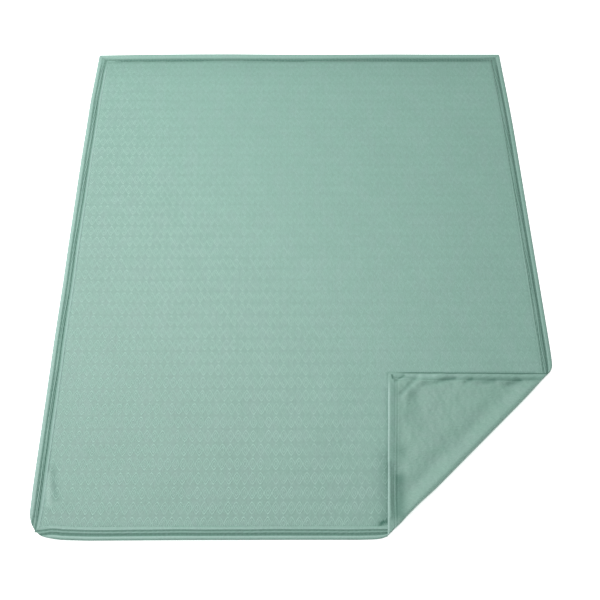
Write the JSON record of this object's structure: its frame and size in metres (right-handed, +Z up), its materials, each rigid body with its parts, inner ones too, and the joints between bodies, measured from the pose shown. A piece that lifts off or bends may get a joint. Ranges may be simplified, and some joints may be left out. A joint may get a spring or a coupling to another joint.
{
  "type": "infrared blanket",
  "caption": "Rectangular two-sided knit blanket with a far-infrared inner layer and bound, double-stitched edges, lying flat with one corner folded over.",
  "frame": {"origin": "under the middle of the blanket, on the floor it lies on", "axes": "+X to the blanket's right along its width, +Y along its length to the head end, +Z up out of the face cloth"},
  "size_m": [1.8, 2.2, 0.0147],
  "materials": {
    "face_knit": "matte jacquard knit with a small lozenge pattern, sage green",
    "inner_wadding": "matte nonwoven wadding with far-infrared fibre",
    "back_knit": "smooth fine plain knit, sage green",
    "binding_knit": "matte knit folded over the edge, sage green",
    "thread": "spun sewing thread, darker green"
  },
  "bodies": {
    "blanket": {"face_cloth": "face_knit", "inner_layer": "inner_wadding", "back_cloth": "back_knit", "binding_foot": "binding_knit", "binding_right": "binding_knit", "binding_head": "binding_knit", "binding_left": "binding_knit", "needle_outer_foot": "thread", "needle_inner_foot": "thread", "bobbin_inner_foot": "thread", "needle_outer_right": "thread", "needle_inner_right": "thread", "bobbin_inner_right": "thread", "needle_outer_head": "thread", "needle_inner_head": "thread", "bobbin_inner_head": "thread", "needle_outer_left": "thread", "needle_inner_left": "thread", "bobbin_inner_left": "thread"},
    "folded_corner": {"corner_face_cloth": "face_knit", "corner_inner_layer": "inner_wadding", "corner_back_cloth": "back_knit", "corner_binding_foot": "binding_knit", "corner_binding_right": "binding_knit", "corner_needle_outer_foot": "thread", "corner_needle_inner_foot": "thread", "corner_bobbin_inner_foot": "thread", "corner_needle_outer_right": "thread", "corner_needle_inner_right": "thread", "corner_bobbin_inner_right": "thread"}
  },
  "joints": [
    {"name": "corner_fold", "type": "hinge", "parent": "blanket", "child": "folded_corner", "pos_m": [0.5795, -0.7905, 0.00735], "axis": [0.7193, 0.6947, 0], "range_deg": [0, 180]}
  ]
}
